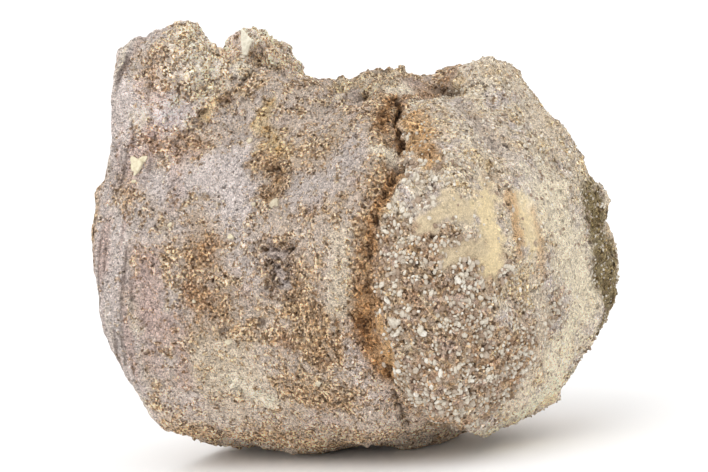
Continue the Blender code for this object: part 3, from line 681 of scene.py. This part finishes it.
def coverOfGrains(p, z):
    # where sand grains sit, and how large they are: thick and coarse on the brown patch, none on bare bone
    clump = ramp(field(p, "clump"), -0.3, 0.25)
    nearer = np.maximum(brownPatch, within(z.around, "grainAround") * within(z.past, "grainPast"))
    thick = z.dome * (0.12 + 0.55 * clump + 0.5 * nearer * clump) * (1 - 0.9 * bareness) * (1 - 0.8 * grainless)
    coarse = 0.55 + 0.4 * nearer + 0.2 * ramp(field(p, "coarse"), 0, 0.6) - 0.1 * z.edge
    return np.clip(thick, 0, 1), coarse


grainCover, grainScale = coverOfGrains(points, zones)
setPoints(base, outer)
outerNormals = normalsOf(base)


def splitPiece(name, keep, share=1):
    # a closed piece from the faces that are kept; the cut is filled inside the bone
    part = quads[keep]
    used = np.unique(part)
    back = np.full(len(points), -1)
    back[used] = np.arange(len(used))
    mesh = bpy.data.meshes.new(name)
    mesh.from_pydata(outer[used].tolist(), [], back[part].tolist())
    layer = mesh.attributes.new("boneColour", "FLOAT_COLOR", "POINT")
    layer.data.foreach_set("color", np.column_stack([tone[used], np.ones(len(used))]).ravel())
    for label, values in (("crumbCover", crumbCover), ("rubbed", bareness), ("grainCover", grainCover),
                          ("grainScale", grainScale)):
        one = mesh.attributes.new(label, "FLOAT", "POINT")
        one.data.foreach_set("value", values[used])
    bm = bmesh.new()
    bm.from_mesh(mesh)
    bmesh.ops.holes_fill(bm, edges=[e for e in bm.edges if e.is_boundary], sides=0)
    bmesh.ops.triangulate(bm, faces=bm.faces)
    bm.to_mesh(mesh)
    bm.free()
    piece = stand(name, mesh)
    if share < 1:
        few = piece.modifiers.new("thin", "DECIMATE")
        few.ratio = share
        thinned = evaluatedMesh(piece)
        piece.modifiers.clear()
        piece.data = thinned
    piece.data.shade_smooth()
    # shade with the whole skin's normals, so that neither the cut nor the thinning shows
    near = KDTree(len(used))
    for i, k in enumerate(used):
        near.insert(outer[k], k)
    near.balance()
    own = [tuple(outerNormals[near.find(v.co)[1]]) for v in piece.data.vertices]
    piece.data.normals_split_custom_set_from_vertices(own)
    return piece


def joinBone(piece):
    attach(piece, "root")
    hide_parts("vertebra")


alongFace, aroundFace, _ = boneCoords(points[quads].mean(axis=1))
behind = alongFace > grooveAlong(aroundFace) + 0.2
centrum = splitPiece("centrum", ~behind, skinSize["centrumTriangles"] / (2 * (~behind).sum()))
condyle = splitPiece("condyle", behind)
print("pieces:", len(centrum.data.polygons), len(condyle.data.polygons))


# ---- finish ----

stoneLook = {
    # sizes in mm: patches of crumbs, single crumbs, and the stone's own grain
    "patches": 0.52, "cells": 0.35, "middle": 0.42, "fine": 0.17, "wisps": 0.85, "shakeSize": 0.3, "shake": 0.28,
    # where crumbs lie: what patches, cover and rubbing count for, and the mask's edge
    "patchSwing": 2, "coverSwing": 0.8, "rubbing": 2.2, "edge": (-0.12, 0.16), "rubbedCalm": 0.65,
    # how far each pattern darkens and lightens smooth stone, then crumbs
    "calmFine": (0.42, 1.64), "calmMiddle": (0.66, 1.36),
    "specks": ((0, 0.34), (0.1, 0.66), (0.22, 0.94), (0.72, 1.06), (0.88, 1.45)),
    "crumbMiddle": (0.55, 1.45), "crumbFine": (0.66, 1.36), "crumbWisps": (0.58, 1.78),
    "crumbTones": ((0, 0.3), (0.18, 0.6), (0.45, 1), (0.76, 1.34), (0.93, 1.8)),
    "crumbTints": ((0, (0.62, 0.44, 0.29)), (0.3, (0.82, 0.66, 0.49)), (0.6, (0.92, 0.82, 0.69)),
                   (0.9, (1.05, 1.03, 0.93))),
    "hues": ((0, (1.03, 1, 0.88)), (0.5, (1, 1, 1)), (1, (0.95, 0.98, 1.08))),
    "bumpHeight": 0.2, "bumpStrength": 0.9, "roughness": 0.88, "shine": 0.25,
}
# the condyle's crust has coarser, paler crumbs
crustLook = dict(stoneLook, patches=0.6, cells=0.44, crumbTints=(
    (0, (0.66, 0.52, 0.38)), (0.3, (0.86, 0.75, 0.62)), (0.6, (0.96, 0.91, 0.82)), (0.9, (1.05, 1.05, 1))))
whole = (0, 1)
wispRange = (0.2, 0.9)


class Wiring:
    # short ways to add and join nodes
    def __init__(self, tree):
        self.tree = tree

    def add(self, kind, sockets=None, **settings):
        # sockets maps a socket's name or number to a value, or to the output that feeds it
        node = self.tree.nodes.new(kind)
        for key, value in settings.items():
            setattr(node, key, value)
        for key, value in (sockets or {}).items():
            if isinstance(value, bpy.types.NodeSocket):
                self.tree.links.new(value, node.inputs[key])
            else:
                node.inputs[key].default_value = value
        return node

    def attribute(self, label, output="Fac"):
        return self.add("ShaderNodeAttribute", attribute_name=label).outputs[output]

    def spread(self, value, span, result):
        ends = dict(zip(("From Min", "From Max", "To Min", "To Max"), (*span, *result)))
        return self.add("ShaderNodeMapRange", {"Value": value, **ends}).outputs["Result"]

    def swing(self, value, result):
        # from the middle of a noise texture's range, where nearly all of it lies
        return self.spread(value, (0.3, 0.7), result)

    def maths(self, operation, a, b):
        return self.add("ShaderNodeMath", {0: a, 1: b}, operation=operation).outputs["Value"]

    def product(self, first, *others):
        for other in others:
            first = self.maths("MULTIPLY", first, other)
        return first

    def vectors(self, operation, *parts):
        return self.add("ShaderNodeVectorMath", dict(enumerate(parts)), operation=operation).outputs["Vector"]

    def scaled(self, vector, by):
        return self.add("ShaderNodeVectorMath", {0: vector, "Scale": by}, operation="SCALE").outputs["Vector"]

    def mix(self, kind, factor, a, b):
        return self.add("ShaderNodeMix", {"Factor": factor, "A": a, "B": b}, data_type=kind).outputs["Result"]

    def steps(self, value, stops):
        # colour ramp through (place, grey or colour) pairs
        node = self.add("ShaderNodeValToRGB", {"Fac": value})
        elements = node.color_ramp.elements
        for i, (at, v) in enumerate(stops):
            e = elements[i] if i < 2 else elements.new(at)
            e.position = at
            e.color = (*v, 1) if isinstance(v, tuple) else (v, v, v, 1)
        return node.outputs["Color"]

    def noise(self, place, size, detail, roughness=0.5):
        sockets = {"Vector": place, "Scale": 1 / (size * mm), "Detail": detail, "Roughness": roughness}
        return self.add("ShaderNodeTexNoise", sockets).outputs


class Coat(Wiring):
    # a material with one Principled shader
    def __init__(self, name, roughness):
        self.mat = bpy.data.materials.new(name)
        self.mat.use_nodes = True
        super().__init__(self.mat.node_tree)
        self.shader = self.tree.nodes["Principled BSDF"]
        self.shader.inputs["Roughness"].default_value = roughness
        self.place = self.add("ShaderNodeTexCoord").outputs["Object"]

    def colour(self, output):
        self.tree.links.new(output, self.shader.inputs["Base Color"])

    def bump(self, height, strength, distance):
        sockets = {"Strength": strength, "Distance": distance * mm, "Height": height}
        bump = self.add("ShaderNodeBump", sockets)
        self.tree.links.new(bump.outputs["Normal"], self.shader.inputs["Normal"])


def stoneMaterial(name, look):
    w = Coat(name, look["roughness"])
    w.shader.inputs["Specular IOR Level"].default_value = look["shine"]
    painted = w.attribute("boneColour", "Color")
    rubbed = w.attribute("rubbed")
    # uneven cells: the pattern is read at places shaken by a fine noise
    wobble = w.noise(w.place, look["shakeSize"], 1)["Color"]
    shaken = w.vectors("MULTIPLY_ADD", wobble, (look["shake"] * mm,) * 3, w.place)
    cells = w.add("ShaderNodeTexVoronoi", {"Scale": 1 / (look["cells"] * mm), "Vector": shaken})
    cell = w.add("ShaderNodeSeparateColor", {"Color": cells.outputs["Color"]}).outputs
    patches = w.noise(w.place, look["patches"], 3, 0.6)["Fac"]
    fine = w.noise(w.place, look["fine"], 2)["Fac"]
    middle = w.noise(w.place, look["middle"], 2, 0.6)["Fac"]
    wisps = w.add("ShaderNodeTexNoise",
                  {"Vector": w.place, "Scale": 1 / (look["wisps"] * mm), "Detail": 1, "Offset": 0.8, "Gain": 1},
                  noise_type="RIDGED_MULTIFRACTAL", normalize=True).outputs["Fac"]
    # where crumbs lie
    swing, reach = look["patchSwing"], look["coverSwing"]
    chance = w.maths("ADD", w.spread(patches, whole, (-swing, swing)),
                     w.spread(w.attribute("crumbCover"), whole, (-reach, reach)))
    chance = w.maths("SUBTRACT", chance, w.product(rubbed, look["rubbing"]))
    mask = w.spread(chance, look["edge"], whole)
    # smooth stone: a soft grain and a few dark specks, calmer where it is rubbed
    calm = w.product(w.swing(fine, look["calmFine"]), w.swing(middle, look["calmMiddle"]),
                     w.steps(cell["Red"], look["specks"]))
    calm = w.mix("FLOAT", w.product(rubbed, look["rubbedCalm"]), calm, 1)
    # crumbs: each of its own tone, and wispy
    rough = w.product(w.swing(middle, look["crumbMiddle"]), w.steps(cell["Green"], look["crumbTones"]),
                      w.swing(fine, look["crumbFine"]), w.spread(wisps, wispRange, look["crumbWisps"]))
    # dark crumbs are brown and bright ones cream, some bluer and some yellower
    tint = w.vectors("MULTIPLY", w.steps(cell["Green"], look["crumbTints"]), w.steps(cell["Blue"], look["hues"]))
    crumbTone = w.scaled(w.vectors("MULTIPLY", painted, tint), rough)
    w.colour(w.mix("RGBA", mask, w.scaled(painted, calm), crumbTone))
    # crumbs stand a little proud
    height = w.maths("ADD", w.product(rough, w.spread(mask, whole, (0.15, 0.75))), calm)
    w.bump(height, look["bumpStrength"], look["bumpHeight"])
    return w.mat


for piece, name, look in ((centrum, "weatheredBone", stoneLook), (condyle, "crustedBone", crustLook)):
    piece.data.materials.clear()
    piece.data.materials.append(stoneMaterial(name, look))
    joinBone(piece)


# ---- sand grains cemented on the condyle ----

grains = {"Spacing": 0.55, "Smallest": 0.28, "Largest": 0.66, "Unevenness": 0.16}     # mm
grainsPerSquareMetre = 7.0e6
grainSeed = 11
grainShape = {"flattest": (0.6, 0.55, 0.5), "longest": (1.5, 1.1, 0.9), "smallBias": 1.4, "waver": 2400}
grainLook = {
    "roughness": 0.55, "mottle": 0.25, "mottleSwing": (0.8, 1.2),
    "tones": ((0, (0.26, 0.18, 0.12)), (0.14, (0.36, 0.27, 0.20)), (0.28, (0.46, 0.39, 0.31)),
              (0.55, (0.55, 0.49, 0.40)), (0.85, (0.63, 0.57, 0.47)), (1, (0.74, 0.70, 0.62))),
}


def grainTree():
    tree = bpy.data.node_groups.new("sandGrains", "GeometryNodeTree")
    kinds = [("Surface", "Geometry")] + [(label, "Float") for label in (*grains, "Density")]
    for label, kind in kinds + [("Seed", "Int"), ("Stone", "Material")]:
        tree.interface.new_socket(label, in_out="INPUT", socket_type="NodeSocket" + kind)
    tree.interface.new_socket("Grains", in_out="OUTPUT", socket_type="NodeSocketGeometry")
    w = Wiring(tree)
    given = w.add("NodeGroupInput").outputs

    def named(label):
        node = w.add("GeometryNodeInputNamedAttribute", {"Name": label}, data_type="FLOAT")
        return node.outputs["Attribute"]

    spots = w.add("GeometryNodeDistributePointsOnFaces", distribute_method="POISSON", sockets={
        "Mesh": given["Surface"], "Distance Min": given["Spacing"], "Density Max": given["Density"],
        "Density Factor": named("grainCover"), "Seed": given["Seed"]})
    ball = w.add("GeometryNodeMeshIcoSphere", {"Radius": 1, "Subdivisions": 1})
    turn = w.add("FunctionNodeRandomValue", {"Max": (6.28, 6.28, 6.28)}, data_type="FLOAT_VECTOR")
    # most grains small, a few large
    chance = w.add("FunctionNodeRandomValue", {"Seed": 3}, data_type="FLOAT").outputs[1]
    size = w.add("ShaderNodeMapRange", {
        "Value": w.maths("POWER", chance, grainShape["smallBias"]),
        "To Min": given["Smallest"], "To Max": given["Largest"]}).outputs["Result"]
    squash = w.add("FunctionNodeRandomValue", {"Min": grainShape["flattest"], "Max": grainShape["longest"]},
                   data_type="FLOAT_VECTOR").outputs["Value"]
    put = w.add("GeometryNodeInstanceOnPoints", {
        "Points": spots.outputs["Points"], "Instance": ball.outputs["Mesh"], "Rotation": turn.outputs["Value"],
        "Scale": w.scaled(w.scaled(squash, size), named("grainScale"))})
    tone = w.add("FunctionNodeRandomValue", data_type="FLOAT").outputs[1]
    store = w.add("GeometryNodeStoreNamedAttribute", data_type="FLOAT", domain="INSTANCE", sockets={
        "Name": "grainTone", "Geometry": put.outputs["Instances"], "Value": tone})
    real = w.add("GeometryNodeRealizeInstances", {"Geometry": store.outputs["Geometry"]})
    # no two grains alike: each corner is shifted a little
    shake = w.add("ShaderNodeTexNoise", {"Scale": grainShape["waver"]}).outputs["Color"]
    offset = w.scaled(w.vectors("SUBTRACT", shake, (0.5, 0.5, 0.5)), given["Unevenness"])
    move = w.add("GeometryNodeSetPosition", {"Geometry": real.outputs["Geometry"], "Offset": offset})
    coat = w.add("GeometryNodeSetMaterial", {"Geometry": move.outputs["Geometry"], "Material": given["Stone"]})
    w.add("NodeGroupOutput", {"Grains": coat.outputs["Geometry"]})
    return tree


def grainMaterial():
    w = Coat("sandGrain", grainLook["roughness"])
    mottle = w.noise(w.place, grainLook["mottle"], 1)["Fac"]
    w.colour(w.scaled(w.steps(w.attribute("grainTone"), grainLook["tones"]),
                      w.swing(mottle, grainLook["mottleSwing"])))
    return w.mat


def scatterGrains():
    holder = stand("condyleGrains", condyle.data.copy())
    tree = grainTree()
    mod = holder.modifiers.new("grains", "NODES")
    mod.node_group = tree
    ids = {s.name: s.identifier for s in tree.interface.items_tree if s.in_out == "INPUT"}
    for label, size in grains.items():
        mod[ids[label]] = size * mm
    mod[ids["Density"]] = grainsPerSquareMetre
    mod[ids["Seed"]] = grainSeed
    mod[ids["Stone"]] = grainMaterial()
    done = evaluatedMesh(holder)
    holder.modifiers.clear()
    holder.data = done
    done.shade_flat()
    joinBone(holder)
    return holder


grainPiece = scatterGrains()
print("grains:", len(grainPiece.data.polygons), "faces")


# ---- loose chips and a standing flake, half sunk in the stone ----

chips = [
    # (name, place in mm, half width, half height, thickness, turn in degrees, seed)
    ("creamChip", (-29.4, -24.9, 51.8), 1.8, 2, 0.35, 20, 4),
    ("creamChipTail", (-27.9, -24.8, 52.9), 1.1, 0.55, 0.3, 15, 9),
    ("creamCrumb", (-29.2, -25.9, 49), 0.5, 0.4, 0.3, 0, 12),
    ("brightChip", (-9.9, -20.1, 54.9), 0.7, 0.5, 0.3, 40, 5),
    ("creamSpeck", (-10.7, -28.3, 40), 0.6, 0.55, 0.35, 0, 6),
    ("paleChip2", (-12.8, -28.7, 22.8), 0.85, 0.65, 0.25, 15, 7),
    ("paleChip3", (-7, -26.3, 44.9), 0.5, 0.4, 0.3, 60, 8),
    ("paleChip4", (-17.9, -29.6, 29.8), 0.45, 0.4, 0.25, 0, 10),
    ("raisedChip", (-2.9, -27, 45.2), 1, 0.8, 0.5, 70, 11),
    ("lowChip", (3.4, -29.8, 15.4), 0.6, 0.5, 0.3, 30, 13),
    ("creamDot", (-21.6, -28.7, 42.3), 0.42, 0.45, 0.3, 0, 15),
]
flake = {
    "place": (-24.6, 8.6, 67.7), "thickness": 0.5, "azimuth": 20, "lean": 0.15, "seed": 3,
    "corners": [(-0.55, 2.3), (-0.1, 1.9), (0.5, 0.9), (1.35, 0.1), (0.7, -1), (0.1, -2.4), (-0.6, -2.2),
                (-0.75, 0.2)],
}
chipRings = ((1, -0.9), (1, 0.5), (0.88, 0.8), (0.5, 0.9))     # share of the outline, height in thicknesses
shells = {"cream": ((0.74, 0.68, 0.50), (0.55, 0.47, 0.31)), "pale": ((0.66, 0.59, 0.44), (0.42, 0.34, 0.24)),
          "flake": ((0.88, 0.84, 0.70), (0.68, 0.64, 0.50))}


def raggedOutline(width, height, seed):
    # corners of a broken flat chip, at uneven angles and distances
    pick = random.Random(seed)
    count = pick.choice((7, 8, 9))
    corners = []
    for k in range(count):
        a = 2 * math.pi * (k + pick.uniform(-0.3, 0.3)) / count
        far = pick.uniform(0.62, 1.15)
        corners.append((width * far * math.cos(a), height * far * math.sin(a)))
    return corners


def brokenPlate(bm, middle, across, upward, outward, corners, thick, seed):
    # a chip with sunk sides, a bevelled edge and an uneven face
    pick = random.Random(seed + 100)
    tilt = (pick.uniform(-0.15, 0.15), pick.uniform(-0.15, 0.15))
    rings = []
    for share, height in chipRings:
        lift = height * thick
        ring = []
        for u, v in corners:
            rough = 0.12 * thick * pick.uniform(-1, 1) if lift > 0 else 0
            out = lift + rough + tilt[0] * u + tilt[1] * v
            spot = across * (u * share) + upward * (v * share) + outward * out
            ring.append(bm.verts.new(middle + spot * mm))
        rings.append(ring)
    count = len(corners)
    for low, high in zip(rings[:-1], rings[1:]):
        for k in range(count):
            n = (k + 1) % count
            bm.faces.new((low[k], low[n], high[n], high[k]))
    bm.faces.new(list(reversed(rings[0])))
    bm.faces.new(rings[-1])


def chipMaterial(kind):
    light, dark = shells[kind]
    w = Coat(kind + "Shell", 0.7)
    mottle = w.noise(w.place, 0.5, 3, 0.6)["Fac"]
    w.colour(w.steps(mottle, ((0.3, dark), (0.6, light))))
    w.bump(mottle, 0.6, 0.1)
    return w.mat


def built(name, bm, material):
    mesh = bpy.data.meshes.new(name)
    bm.to_mesh(mesh)
    bm.free()
    mesh.materials.append(material)
    return stand(name, mesh)


def finishChip(name, bm, material):
    bmesh.ops.recalc_face_normals(bm, faces=bm.faces)
    bmesh.ops.triangulate(bm, faces=[f for f in bm.faces if len(f.verts) > 4])
    joinBone(built(name, bm, material))


def makeChips():
    coats = {kind: chipMaterial(kind) for kind in ("cream", "pale")}
    for name, place, width, height, thick, turn, seed in chips:
        spot, out, _, _ = weathered.find_nearest(Vector(place) * mm)
        across = Vector((0, 0, 1)).cross(out).normalized()
        upward = out.cross(across)
        spin = Matrix.Rotation(math.radians(turn), 3, out)
        bm = bmesh.new()
        brokenPlate(bm, spot, spin @ across, spin @ upward, out, raggedOutline(width, height, seed), thick, seed)
        finishChip(name, bm, coats["cream" if name.startswith("cream") else "pale"])


def makeFlake():
    a = math.radians(flake["azimuth"])
    facing = Vector((math.sin(a), -math.cos(a), flake["lean"])).normalized()
    across = Vector((0, 0, 1)).cross(facing).normalized()
    bm = bmesh.new()
    brokenPlate(bm, Vector(flake["place"]) * mm, across, facing.cross(across), facing, flake["corners"],
                flake["thickness"], flake["seed"])
    finishChip("standingFlake", bm, chipMaterial("flake"))


weathered = BVHTree.FromPolygons(outer.tolist(), quads.tolist())
makeChips()
makeFlake()
print("chips set")


# ---- floor, light and camera ----

studio = {
    "floorRadius": 6, "floorTone": 0.95, "floorRoughness": 0.9, "sky": 1.15,
    "key": 7.5, "keySize": 1.5, "keyPlace": (-0.05, -1.05, 1.15), "keyAim": (0, 0, 0.035),
}


def makeFloor():
    bm = bmesh.new()
    bmesh.ops.create_circle(bm, cap_ends=True, segments=96, radius=studio["floorRadius"])
    paper = Coat("paper", studio["floorRoughness"])
    paper.shader.inputs["Base Color"].default_value = (studio["floorTone"],) * 3 + (1,)
    floor = built("floor", bm, paper.mat)


def makeLight():
    world = bpy.data.worlds.new("studio")
    bpy.context.scene.world = world
    world.use_nodes = True
    sky = world.node_tree.nodes["Background"]
    sky.inputs["Color"].default_value = (1, 1, 1, 1)
    sky.inputs["Strength"].default_value = studio["sky"]
    lamp = bpy.data.lights.new("softbox", "AREA")
    lamp.shape = "DISK"
    lamp.size = studio["keySize"]
    lamp.energy = studio["key"]
    light = stand("softbox", lamp)
    light.location = studio["keyPlace"]
    light.rotation_mode = "QUATERNION"
    light.rotation_quaternion = (Vector(studio["keyAim"]) - light.location).to_track_quat("-Z", "Y")


shot = {
    "azimuth": 27.808, "elevation": 7.236, "roll": 5.387,       # degrees
    "distance": 1.2, "frameWidth": 0.1168, "sensor": 36,        # metres, and mm for the sensor
    "right": -0.00598, "up": 0.03498, "near": 0.01,             # the point it aims at, in its own directions
    "clip": (0.05, 50),
}


def makeCamera():
    a, e, roll = (math.radians(shot[angle]) for angle in ("azimuth", "elevation", "roll"))
    turn = Matrix.Rotation(a, 4, "Z") @ Matrix.Rotation(math.pi / 2 - e, 4, "X") @ Matrix.Rotation(-roll, 4, "Z")
    data = bpy.data.cameras.new("camera")
    data.sensor_width = shot["sensor"]
    data.lens = shot["sensor"] * shot["distance"] / shot["frameWidth"]
    data.clip_start, data.clip_end = shot["clip"]
    cam = stand("camera", data)
    cam.matrix_world = turn @ Matrix.Translation((shot["right"], shot["up"], shot["near"] + shot["distance"]))
    bpy.context.scene.camera = cam


makeFloor()
makeLight()
makeCamera()
bpy.context.scene.view_settings.view_transform = "Standard"
print("staged")
